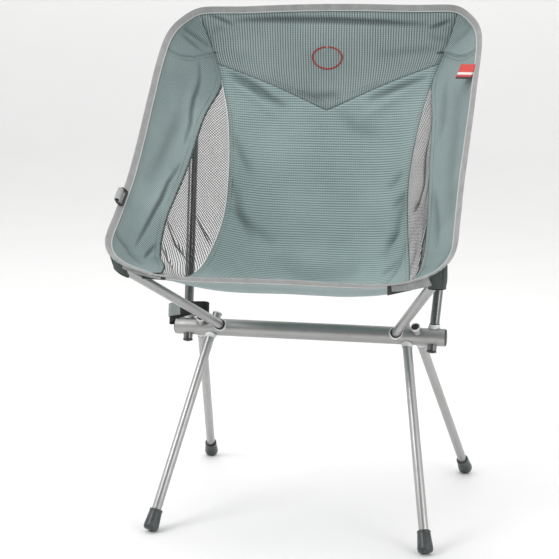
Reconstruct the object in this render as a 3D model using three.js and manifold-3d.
// Lightweight camp chair. One cross tube is drilled through at both ends for four legs, two seat poles
// and two back poles, and a fabric sling hangs by its four corners on the ends of the poles.
// Millimetres, +Z up, -Y the front of the chair, +X the right-hand side seen from the front, floor at z = 0.
import * as THREE from 'three';
import { mergeVertices } from 'three/addons/utils/BufferGeometryUtils.js';
import Module from 'manifold-3d';

const wasm = await Module();
wasm.setup();

// ---- driving dimensions ----
const CHAIR_Y = -2.7;           // puts the middle of the chair's depth over the origin
const BAR_HEIGHT = 298.5;      // cross tube axis above the floor
const BAR_LENGTH = 445;
const BAR_RADIUS = 14;
const BAR_WALL = 1.6;
const POLE_RADIUS = 7.5;
const POLE_WALL = 1.0;
const GAP = 0.35;              // clearance between pieces that touch
const HOLE_RADIUS = POLE_RADIUS + 0.5;
const ROUND_SIDES = 16;
const BAR_SIDES = 24;
const FABRIC = 1.6;
const MESH_CLOTH = 1.2;
const BINDING_WIDTH = 12;
const BINDING_THICKNESS = 2.6;
const SEAM_GAP = 1.3;
const POLE_JOIN = 330;         // where a back pole's two sections meet, along the pole from the cross tube
const FERRULE_LENGTH = 70;
const CORD_RADIUS = 1.3;       // the elastic cord inside a back pole

// ---- materials ----
const paint = (color, roughness, metalness = 0) =>
  new THREE.MeshStandardMaterial({ color, roughness, metalness });
const GREY_ALLOY = paint(0x9c9b99, 0.42, 0.85);
const BRIGHT_ALLOY = paint(0xc2c2c0, 0.35, 0.85);
const BLACK_PLASTIC = paint(0x24272a, 0.5);
const DARK_RUBBER = paint(0x3f4749, 0.55);
const TEAL_CLOTH = paint(0x8ca6a0, 0.85);
const RIBBED_CLOTH = paint(0x84a09a, 0.85);
const BLACK_MESH = paint(0x2b2b2c, 0.8);
const GREY_WEBBING = paint(0xa9a6a4, 0.85);
const GREY_COLLAR = paint(0xb4b5b5, 0.45);
const RED_LABEL = paint(0xc8433f, 0.8);
const WHITE_CORD = paint(0xd8d8d4, 0.8);

const chair = new THREE.Group();
chair.position.set(0, CHAIR_Y, 0);

// ---- geometry helpers ----
const vec = (x, y, z) => new THREE.Vector3(x, y, z);
const sides = [['left', -1], ['right', 1]];

function signedVolume(geometry) {
  const p = geometry.attributes.position;
  const index = geometry.index.array;
  const corner = [vec(), vec(), vec()];
  let volume = 0;
  for (let i = 0; i < index.length; i += 3) {
    corner.forEach((c, k) => c.fromBufferAttribute(p, index[i + k]));
    volume += corner[0].dot(corner[1].clone().cross(corner[2]));
  }
  return volume / 6;
}

// One closed body: shared vertices, no zero-area triangles, faces pointing out.
function closed(geometry) {
  const bare = geometry.clone();
  for (const name of ['normal', 'uv', 'uv1', 'color']) bare.deleteAttribute(name);
  if (!bare.index) bare.setIndex([...Array(bare.attributes.position.count).keys()]);
  const merged = mergeVertices(bare, 1e-3);
  const kept = [];
  const index = merged.index.array;
  for (let i = 0; i < index.length; i += 3) {
    const [a, b, c] = [index[i], index[i + 1], index[i + 2]];
    if (a !== b && b !== c && c !== a) kept.push(a, b, c);
  }
  merged.setIndex(kept);
  if (signedVolume(merged) < 0) {
    for (let i = 0; i < kept.length; i += 3) [kept[i + 1], kept[i + 2]] = [kept[i + 2], kept[i + 1]];
    merged.setIndex(kept);
  }
  merged.computeVertexNormals();
  return merged;
}

function solid(geometry, matrix = new THREE.Matrix4()) {
  const body = closed(geometry.clone().applyMatrix4(matrix));
  return new wasm.Manifold(new wasm.Mesh({
    numProp: 3,
    vertProperties: new Float32Array(body.attributes.position.array),
    triVerts: new Uint32Array(body.index.array),
  }));
}

function geometryOf(manifold) {
  const mesh = manifold.getMesh();
  const geometry = new THREE.BufferGeometry();
  geometry.setAttribute('position', new THREE.BufferAttribute(new Float32Array(mesh.vertProperties), 3));
  geometry.setIndex([...mesh.triVerts]);
  return closed(geometry);
}

// A turned shape about +Z from [radius, height] points.
function turned(profile, segments = ROUND_SIDES) {
  const points = profile.map(([radius, height]) => new THREE.Vector2(radius, height));
  return new THREE.LatheGeometry(points, segments).rotateX(Math.PI / 2);
}

function tube(outer, inner, low, high, segments = ROUND_SIDES) {
  return turned([[inner, low], [outer, low], [outer, high], [inner, high], [inner, low]], segments);
}

const rod = (radius, low, high, segments = ROUND_SIDES) =>
  turned([[0, low], [radius, low], [radius, high], [0, high]], segments);

function add(name, geometry, material, matrix = new THREE.Matrix4(), parent = chair) {
  const mesh = new THREE.Mesh(closed(geometry), material);
  mesh.name = name;
  mesh.applyMatrix4(matrix);
  parent.add(mesh);
  return mesh;
}

// ---- the cross tube and the eight poles through it ----
// A pole starts on the cross tube's axis at hole (x) and runs to its outer end. nub is how far its inner
// end stands past the axis on the other side.
function pole(side, hole, outerEnd, nub) {
  const base = vec(side * hole, 0, BAR_HEIGHT);
  const end = vec(side * outerEnd[0], outerEnd[1], outerEnd[2]);
  const direction = end.clone().sub(base).normalize();
  const turn = new THREE.Quaternion().setFromUnitVectors(vec(0, 0, 1), direction);
  const place = new THREE.Matrix4().compose(base, turn, vec(1, 1, 1));
  return { base, direction, length: end.distanceTo(base), place, nub };
}

const LEG_NUB = 27;
const FOOT_DEPTH = 1;          // how much of the rubber's lowest edge is flattened by the floor
const poles = {};
for (const [word, side] of sides) {
  poles[`front_leg_${word}`] = pole(side, 160, [218, -172.5, 0], LEG_NUB);
  poles[`rear_leg_${word}`] = pole(side, 180, [239, 257, 0], LEG_NUB);
  poles[`seat_pole_${word}`] = pole(side, 140, [234.2, -232.5, 431.5], 20);
  poles[`back_pole_${word}`] = pole(side, 203, [231, 160, 769], 26);
}

const barTurn = new THREE.Matrix4().makeRotationY(Math.PI / 2);
const barPlace = new THREE.Matrix4().makeTranslation(0, 0, BAR_HEIGHT).multiply(barTurn);
const barSolid = (radius, half, segments) => solid(rod(radius, -half, half, segments), barPlace);

function crossTube() {
  let bar = barSolid(BAR_RADIUS, BAR_LENGTH / 2, BAR_SIDES);
  bar = bar.subtract(barSolid(BAR_RADIUS - BAR_WALL, BAR_LENGTH, BAR_SIDES));
  for (const { place } of Object.values(poles)) {
    bar = bar.subtract(solid(rod(HOLE_RADIUS, -2 * BAR_RADIUS, 2 * BAR_RADIUS), place));
  }
  return geometryOf(bar);
}
add('cross_tube', crossTube(), GREY_ALLOY);

const CAP_FLANGE = 1.8;
const CAP_SPIGOT = 8;
const CAP_WALL = 2;
for (const [word, side] of sides) {
  const bore = BAR_RADIUS - BAR_WALL - GAP;
  const flange = [[0, CAP_FLANGE + GAP], [BAR_RADIUS - 1, CAP_FLANGE + GAP], [BAR_RADIUS, CAP_FLANGE - 0.6]];
  const inside = bore - CAP_WALL;
  const spigot = [[bore, GAP], [bore, -CAP_SPIGOT], [inside, -CAP_SPIGOT], [inside, -1], [0, -1]];
  const cap = turned([...flange, [BAR_RADIUS, GAP], ...spigot], BAR_SIDES);
  const place = new THREE.Matrix4().makeTranslation(side * BAR_LENGTH / 2, 0, BAR_HEIGHT)
    .multiply(new THREE.Matrix4().makeRotationY(side * Math.PI / 2));
  add(`end_cap_${word}`, cap, BLACK_PLASTIC, place);
}

// A collar fixed on a pole, with a saddle that stops against the cross tube.
const COLLAR_RADIUS = 9.4;
const COLLAR_END = 20;
function collar({ place }) {
  const ring = solid(tube(COLLAR_RADIUS, POLE_RADIUS + GAP, BAR_RADIUS - 6, COLLAR_END), place);
  return geometryOf(ring.subtract(barSolid(BAR_RADIUS + GAP, BAR_LENGTH / 2, BAR_SIDES)));
}

// The plug that closes a pole's inner end.
const PLUG_HEAD = 2.2;
const PLUG_SPIGOT = 10;
function plug(nub) {
  const bore = POLE_RADIUS - POLE_WALL - GAP;
  return turned([[0, -nub], [POLE_RADIUS - 1.2, -nub], [POLE_RADIUS, 1 - nub], [POLE_RADIUS, PLUG_HEAD - nub],
    [bore, PLUG_HEAD - nub], [bore, PLUG_HEAD + PLUG_SPIGOT - nub], [0, PLUG_HEAD + PLUG_SPIGOT - nub]]);
}

// A rubber boot on a leg's end, flattened where it stands on the floor.
const BOOT = { length: 34, top: 9.6, bottom: 12.2, edge: 3.5, floor: 7 };
function boot({ place, direction, base }) {
  const lowestEdge = (BOOT.bottom - BOOT.edge) * Math.hypot(direction.x, direction.y);
  const drop = (base.z - lowestEdge + FOOT_DEPTH) / -direction.z;
  const socket = POLE_RADIUS + GAP;
  const profile = [[0, drop], [BOOT.bottom - BOOT.edge, drop], [BOOT.bottom - 0.8, drop - 1.2],
    [BOOT.bottom, drop - BOOT.edge], [BOOT.top, drop - BOOT.length + 3], [BOOT.top - 1, drop - BOOT.length],
    [socket, drop - BOOT.length], [socket, drop - BOOT.floor], [0, drop - BOOT.floor]];
  const rubber = solid(turned(profile, 20), place);
  const floor = solid(new THREE.BoxGeometry(2000, 2000, 100).translate(0, 0, -50));
  return { geometry: geometryOf(rubber.subtract(floor)), tubeEnd: drop - BOOT.floor - GAP };
}

// A rounded cap on the end that sits in a pocket of the sling.
const TIP = { length: 16, spigot: 12 };
function tipCap(end) {
  const bore = POLE_RADIUS - POLE_WALL - GAP;
  const shoulder = end - TIP.length + TIP.spigot;
  const dome = [[0, end], [4, end - 0.6], [6.6, end - 2.4], [POLE_RADIUS, end - 3.6],
    [POLE_RADIUS, shoulder]];
  return turned([...dome, [bore, shoulder], [bore, end - TIP.length], [0, end - TIP.length]]);
}

const poleTube = (low, high) => tube(POLE_RADIUS, POLE_RADIUS - POLE_WALL, low, high);
for (const [name, p] of Object.entries(poles)) {
  const low = PLUG_HEAD + GAP - p.nub;
  const isBack = name.startsWith('back_pole');
  add(`${name}_plug`, plug(p.nub), BLACK_PLASTIC, p.place);
  add(`${name}_collar`, collar(p), GREY_COLLAR);
  if (name.includes('leg')) {
    const { geometry, tubeEnd } = boot(p);
    add(name, poleTube(low, tubeEnd), GREY_ALLOY, p.place);
    add(name.replace('leg', 'foot'), geometry, DARK_RUBBER);
    continue;
  }
  const high = p.length - TIP.length + TIP.spigot - GAP;
  add(`${name}_tip`, tipCap(p.length), BLACK_PLASTIC, p.place);
  if (!isBack) {
    add(name, poleTube(low, high), GREY_ALLOY, p.place);
    continue;
  }
  add(name.replace('pole', 'pole_lower'), poleTube(low, POLE_JOIN), GREY_ALLOY, p.place);
  add(name.replace('pole', 'pole_upper'), poleTube(POLE_JOIN + GAP, high), GREY_ALLOY, p.place);
  const bore = POLE_RADIUS - POLE_WALL - GAP;
  const half = FERRULE_LENGTH / 2;
  const ferrule = tube(bore, bore - POLE_WALL, POLE_JOIN - half, POLE_JOIN + half);
  add(`${name}_ferrule`, ferrule, BRIGHT_ALLOY, p.place);
  const cord = rod(CORD_RADIUS, low + PLUG_SPIGOT + 1, p.length - TIP.length - 1, 8);
  add(`${name}_shock_cord`, cord, WHITE_CORD, p.place);
}

// ---- the sling ----
// Guide lines of the right half from the top edge (first station) to the front edge (last):
// the middle, the side seam of the middle panel, the outer edge of the mesh and the rim.
const MIDDLE = [[0, 145, 825], [0, 150, 760], [0, 149, 690], [0, 140, 590], [0, 122, 500], [0, 85, 415],
  [0, 20, 368], [0, -95, 376], [0, -233, 415]];
const SEAM = [[221, 127, 816], [204, 143, 765], [179, 130, 699], [161, 106, 628], [152, 68, 540],
  [158, 38, 466], [171, -30, 408], [178, -130, 399], [182, -243, 421]];
const MESH_EDGE = [...SEAM.slice(0, 3), [189, 48, 636], [195, -36, 550], [200, -103, 487],
  [201, -148, 438], [197, -192, 427], [190, -246, 424]];
const RIM = [SEAM[0], [259, 88, 779], [262, 5, 698], [260, -66, 620], [258, -130, 556], [259, -190, 505],
  [258, -237, 469], [236, -255, 442], [198, -248, 425]];
const SITTER = vec(0, -60, 600);           // a point inside the bucket; cloth is thickened away from it
const [middle, seam, meshEdge, rim] = [MIDDLE, SEAM, MESH_EDGE, RIM].map((line) =>
  new THREE.CatmullRomCurve3(line.map((p) => vec(...p)), false, 'catmullrom', 0.5));
const MESH_BULGE = 4;
const WING_BULGE = 6;
const lerp = THREE.MathUtils.lerp;

function bulged(a, b, t, bulge) {
  const point = a.clone().lerp(b, t);
  const outward = point.clone().sub(SITTER).normalize();
  return point.addScaledVector(outward, bulge * Math.sin(Math.PI * t) * Math.min(1, a.distanceTo(b) / 60));
}

// across: 0 in the middle, 1 on the side seam, 2 on the mesh's outer edge; negative on the left.
// down: 0 at the top edge, 1 at the front edge.
function cloth(across, down) {
  const a = Math.abs(across);
  let point;
  if (a <= 1) {
    const [c, s] = [middle.getPoint(down), seam.getPoint(down)];
    point = vec(s.x * a, lerp(c.y, s.y, a ** 2), lerp(c.z, s.z, a ** (2 + 2 * down)));
  } else {
    point = bulged(seam.getPoint(down), meshEdge.getPoint(down), a - 1, MESH_BULGE);
  }
  return across < 0 ? point.setX(-point.x) : point;
}

// The rim of the right half from the top middle to the front middle, each point with the direction
// that runs into the cloth.
const rimLine = [];
for (let i = 0; i < 10; i++) rimLine.push([cloth(i / 10, 0), cloth(i / 10, 0.1)]);
for (let i = 0; i <= 30; i++) {
  const down = i / 30;
  rimLine.push([rim.getPoint(down), meshEdge.getPoint(THREE.MathUtils.clamp(down, 0.12, 0.92))]);
}
for (let i = 1; i <= 14; i++) rimLine.push([cloth(2 - i / 7, 1), cloth(2 - i / 7, 0.9)]);

function rimFrame(i) {
  const last = rimLine.length - 1;
  const [point, within] = rimLine[i];
  const tangent = rimLine[Math.min(i + 1, last)][0].clone().sub(rimLine[Math.max(i - 1, 0)][0]).normalize();
  if (i === 0 || i === last) tangent.set(Math.sign(tangent.x), 0, 0);
  const inward = within.clone().sub(point);
  if (i === 0 || i === last) inward.setX(0);
  inward.addScaledVector(tangent, -inward.dot(tangent)).normalize();
  const toSitter = tangent.clone().cross(inward).normalize();
  if (toSitter.dot(SITTER.clone().sub(point)) < 0) toSitter.negate();
  return { point, inward, tangent, toSitter };
}
const RIM_SIDE_START = 10;                 // index in rimLine where the rim leaves the top edge
const rimAt = (down) => rimFrame(RIM_SIDE_START + Math.round(down * 30));

// A sheet of cloth through a grid of points, thickened away from the sitter.
function shell(grid, thickness, sign = 1) {
  const [rows, cols] = [grid.length, grid[0].length];
  const at = (i, j) => grid[THREE.MathUtils.clamp(i, 0, rows - 1)][THREE.MathUtils.clamp(j, 0, cols - 1)];
  const normals = grid.map((row, i) => row.map((_, j) => {
    const along = at(i + 1, j).clone().sub(at(i - 1, j));
    return at(i, j + 1).clone().sub(at(i, j - 1)).cross(along).normalize();
  }));
  let facing = 0;
  grid.forEach((row, i) => row.forEach((p, j) => {
    facing += normals[i][j].dot(p.clone().sub(SITTER));
  }));
  const lift = Math.sign(facing) * sign * thickness;
  const positions = [];
  const back = [];
  grid.forEach((row, i) => row.forEach((p, j) => {
    positions.push(...p.toArray());
    back.push(...p.clone().addScaledVector(normals[i][j], lift).toArray());
  }));
  positions.push(...back);
  const index = [];
  const half = rows * cols;
  const quad = (a, b, c, d) => index.push(a, b, c, a, c, d);
  for (let i = 0; i < rows - 1; i++) {
    for (let j = 0; j < cols - 1; j++) {
      const a = i * cols + j;
      quad(a, a + 1, a + cols + 1, a + cols);
      quad(half + a, half + a + cols, half + a + cols + 1, half + a + 1);
    }
  }
  const edge = [];
  for (let j = 0; j < cols; j++) edge.push(j);
  for (let i = 1; i < rows; i++) edge.push(i * cols + cols - 1);
  for (let j = cols - 2; j >= 0; j--) edge.push((rows - 1) * cols + j);
  for (let i = rows - 2; i > 0; i--) edge.push(i * cols);
  edge.forEach((a, k) => {
    const b = edge[(k + 1) % edge.length];
    quad(b, a, half + a, half + b);
  });
  const geometry = new THREE.BufferGeometry();
  geometry.setAttribute('position', new THREE.Float32BufferAttribute(positions, 3));
  geometry.setIndex(index);
  return geometry;
}

const mirrored = (grid, side) => (side > 0 ? grid : grid.map((row) => row.map((p) => p.clone().setX(-p.x))));
const steps = (count) => Array.from({ length: count + 1 }, (_, i) => i / count);

// The middle cloth is a ribbed top band over a long seat-and-back panel, joined on a shallow V.
const TOP_TRIM = 0.028;
const bandSeam = (a) => lerp(0.296, 0.2, Math.abs(a));
const frontTrim = (a) => 1 - (a <= 1 ? lerp(0.0115, 0.0142, a) : lerp(0.0142, 0.0295, a - 1));
const VSEAM_GAP = 0.001;
const acrossMiddle = steps(12).map((t) => lerp(-0.993, 0.993, t));
add('top_band', shell(steps(5).map((t) => acrossMiddle.map((a) =>
  cloth(a, lerp(TOP_TRIM, bandSeam(a) - VSEAM_GAP, t)))), FABRIC), RIBBED_CLOTH);
add('seat_back_panel', shell(steps(20).map((t) => acrossMiddle.map((a) =>
  cloth(a, lerp(bandSeam(a) + VSEAM_GAP, frontTrim(Math.abs(a)), t)))), FABRIC), TEAL_CLOTH);

function strip(inner, outer, columns, bulge) {
  const width = inner.distanceTo(outer);
  return steps(columns).map((t) =>
    bulged(inner, outer, lerp(SEAM_GAP / width, 1 - SEAM_GAP / width, t), bulge));
}

const meshGrid = steps(14).map((t) => {
  const down = lerp(0.285, 1, t);
  const inner = seam.getPoint(Math.min(down, frontTrim(1)));
  const outer = meshEdge.getPoint(Math.min(down, frontTrim(2)));
  return strip(inner, outer, 3, MESH_BULGE);
});
const wingGrid = steps(20).map((t) => {
  const down = lerp(0.05, 1, t);
  const { point, inward } = rimAt(down);
  const outer = point.clone().addScaledVector(inward, BINDING_WIDTH);
  return strip(meshEdge.getPoint(lerp(TOP_TRIM, frontTrim(2), down)), outer, 4, WING_BULGE);
});
for (const [word, side] of sides) {
  add(`mesh_panel_${word}`, shell(mirrored(meshGrid, side), MESH_CLOTH), BLACK_MESH);
  add(`wing_panel_${word}`, shell(mirrored(wingGrid, side), FABRIC), TEAL_CLOTH);
}

// The binding tape folded over the whole rim, one closed loop.
function binding() {
  const half = rimLine.map((_, i) => rimFrame(i));
  const flip = (v) => v.clone().setX(-v.x);
  const left = half.slice(1, -1).reverse().map(({ point, inward, toSitter }) =>
    ({ point: flip(point), inward: flip(inward), toSitter: flip(toSitter) }));
  const loop = [...half, ...left];
  const positions = [];
  for (const { point, inward, toSitter } of loop) {
    const deep = point.clone().addScaledVector(inward, BINDING_WIDTH - SEAM_GAP);
    for (const [p, s] of [[point, 1], [deep, 1], [deep, -1], [point, -1]]) {
      positions.push(...p.clone().addScaledVector(toSitter, s * BINDING_THICKNESS / 2).toArray());
    }
  }
  const index = [];
  loop.forEach((_, i) => {
    const [a, b] = [i * 4, ((i + 1) % loop.length) * 4];
    for (let k = 0; k < 4; k++) {
      const n = (k + 1) % 4;
      index.push(a + k, a + n, b + n, a + k, b + n, b + k);
    }
  });
  const geometry = new THREE.BufferGeometry();
  geometry.setAttribute('position', new THREE.Float32BufferAttribute(positions, 3));
  geometry.setIndex(index);
  return geometry;
}
add('edge_binding', binding(), GREY_WEBBING);

// A sleeve sewn behind each top corner takes a back pole's tip. It is open below, and deep enough from
// front to back for the leaning pole to drop straight out as the sling is lifted.
// Each row is [place along the side seam, place along the rim, height, how round the sleeve is there].
const SLEEVE = { x: 229.5, y: 160, half: 12, depth: 14.5, behindRim: 10, insideRim: BINDING_WIDTH + 8 };
const sleeveRows = [[0.215, 0.225, 712, 1], [0.165, 0.18, 742, 1], [0.115, 0.13, 776, 1],
  [0.08, 0.1, 790, 0.55], [0.055, 0.07, 797, 0.1]];
const sleeveGrid = sleeveRows.map(([seamDown, rimDown, height, fullness]) => {
  const inner = seam.getPoint(seamDown).add(vec(3, 5, 0));
  const { point, inward, toSitter } = rimAt(rimDown);
  const outer = point.clone()
    .addScaledVector(inward, SLEEVE.insideRim)
    .addScaledVector(toSitter, -SLEEVE.behindRim);
  const round = steps(4).map((t) => {
    const angle = Math.PI * (1 - t);
    return vec(SLEEVE.x + SLEEVE.half * Math.cos(angle), SLEEVE.y + SLEEVE.depth * Math.sin(angle), height);
  });
  return [inner, ...round, outer].map((p, k, all) => {
    const flat = inner.clone().lerp(outer, k / (all.length - 1));
    return flat.lerp(p, fullness).setZ(height);
  });
});

// A hood of black cloth hangs under each front corner, over a seat pole's tip. It is open below and behind.
const HOOD = { x: 233, y: -231, radius: 12, flare: 1.5, low: 414, frontHigh: 430, sideHigh: 444, thick: 1.8 };
const hoodGrid = steps(3).map((t) => steps(8).map((k) => {
  const angle = THREE.MathUtils.degToRad(lerp(-160, 10, k));
  const high = lerp(HOOD.frontHigh, HOOD.sideHigh, k);
  const flare = HOOD.radius + lerp(HOOD.flare, 0, t);
  return vec(HOOD.x + flare * Math.cos(angle), HOOD.y + flare * Math.sin(angle), lerp(HOOD.low, high, t));
}));

// A black tab end under the front edge at each side seam.
const TAB = { x: 182, y: -238, high: 416.5, low: 408, width: 36 };
for (const [word, side] of sides) {
  add(`back_pole_sleeve_${word}`, shell(mirrored(sleeveGrid, side), FABRIC), TEAL_CLOTH);
  add(`seat_pole_hood_${word}`, shell(mirrored(hoodGrid, side), HOOD.thick), BLACK_PLASTIC);
  const tab = new THREE.BoxGeometry(TAB.width, 1.6, TAB.high - TAB.low)
    .translate(side * TAB.x, TAB.y, (TAB.high + TAB.low) / 2);
  add(`front_tab_${word}`, tab, BLACK_PLASTIC);
}

// A folded label sewn in at the right-hand rim, on the sitter's side.
const LABEL = { down: 0.2, long: 24, wide: 20, lift: 1.0 };
{
  const { point, inward, tangent, toSitter } = rimAt(LABEL.down);
  const root = point.clone().addScaledVector(inward, BINDING_WIDTH + 1).addScaledVector(toSitter, LABEL.lift);
  const grid = steps(2).map((t) => steps(2).map((k) => root.clone()
    .addScaledVector(inward, t * LABEL.wide)
    .addScaledVector(toSitter, 3 * t)
    .addScaledVector(tangent, (k - 0.5) * LABEL.long)));
  add('side_label', shell(grid, 0.9, -1), RED_LABEL);
}

// A webbing tab on the left-hand rim holds a black rectangular ring, which swings on its outer bar.
const RING = { down: 17 / 30, long: 33, wide: 15, bar: 3.4, out: 5.3, lift: 3.6 };
const RING_TAB = { outer: 4.7, inner: 2.75, long: 23 };
{
  const f = rimAt(RING.down);
  const flip = (v) => v.clone().setX(-v.x);
  const [point, inward, tangent] = [f.point, f.inward, f.tangent].map(flip);
  const lift = inward.clone().cross(tangent).normalize();
  if (lift.dot(flip(f.toSitter)) < 0) lift.negate();
  const centre = point.clone().addScaledVector(inward, -RING.out).addScaledVector(lift, RING.lift);
  const width = lift.clone().cross(tangent).normalize();
  const turn = new THREE.Matrix4().makeBasis(width, lift, tangent.clone().negate());
  if (turn.determinant() < 0) turn.makeBasis(width, lift, tangent);
  const place = new THREE.Matrix4().makeTranslation(centre.x, centre.y, centre.z).multiply(turn);
  const inwardSign = Math.sign(width.dot(inward));
  const outline = new THREE.Shape();
  const cutOut = new THREE.Path();
  const rect = (path, x0, x1, z0, z1) =>
    path.moveTo(x0, z0).lineTo(x1, z0).lineTo(x1, z1).lineTo(x0, z1).closePath();
  const near = -RING.bar / 2;
  const far = near + RING.wide;
  rect(outline, near, far, -RING.long / 2, RING.long / 2);
  rect(cutOut, near + RING.bar, far - RING.bar, -RING.long / 2 + RING.bar, RING.long / 2 - RING.bar);
  outline.holes.push(cutOut);
  const ring = new THREE.ExtrudeGeometry(outline, { depth: RING.bar, bevelEnabled: false })
    .rotateX(Math.PI / 2).translate(0, RING.bar / 2, 0);
  if (inwardSign < 0) ring.rotateZ(Math.PI);
  add('side_ring', ring, BLACK_PLASTIC, place);
  const tab = tube(RING_TAB.outer, RING_TAB.inner, -RING_TAB.long / 2, RING_TAB.long / 2, 12);
  add('side_ring_tab', tab, GREY_WEBBING, place);
}

// A webbing strap looped round the left back pole just above the cross tube, for bundling the folded poles.
const STRAP = { long: 66, wide: 26, wall: 2.2, height: 22, low: 17 };
{
  const stadium = (path, long, wide) => {
    const [h, r] = [(long - wide) / 2, wide / 2];
    path.moveTo(-h, -r).lineTo(h, -r).absarc(h, 0, r, -Math.PI / 2, Math.PI / 2, false);
    path.lineTo(-h, r).absarc(-h, 0, r, Math.PI / 2, 1.5 * Math.PI, false);
    return path;
  };
  const outline = stadium(new THREE.Shape(), STRAP.long, STRAP.wide);
  outline.holes.push(stadium(new THREE.Path(), STRAP.long - 2 * STRAP.wall, STRAP.wide - 2 * STRAP.wall));
  const depth = { depth: STRAP.height, bevelEnabled: false, curveSegments: 8 };
  const loop = new THREE.ExtrudeGeometry(outline, depth).translate(0, 0, STRAP.low);
  add('pole_strap', loop, GREY_WEBBING, poles.back_pole_left.place);
}

export default chair;
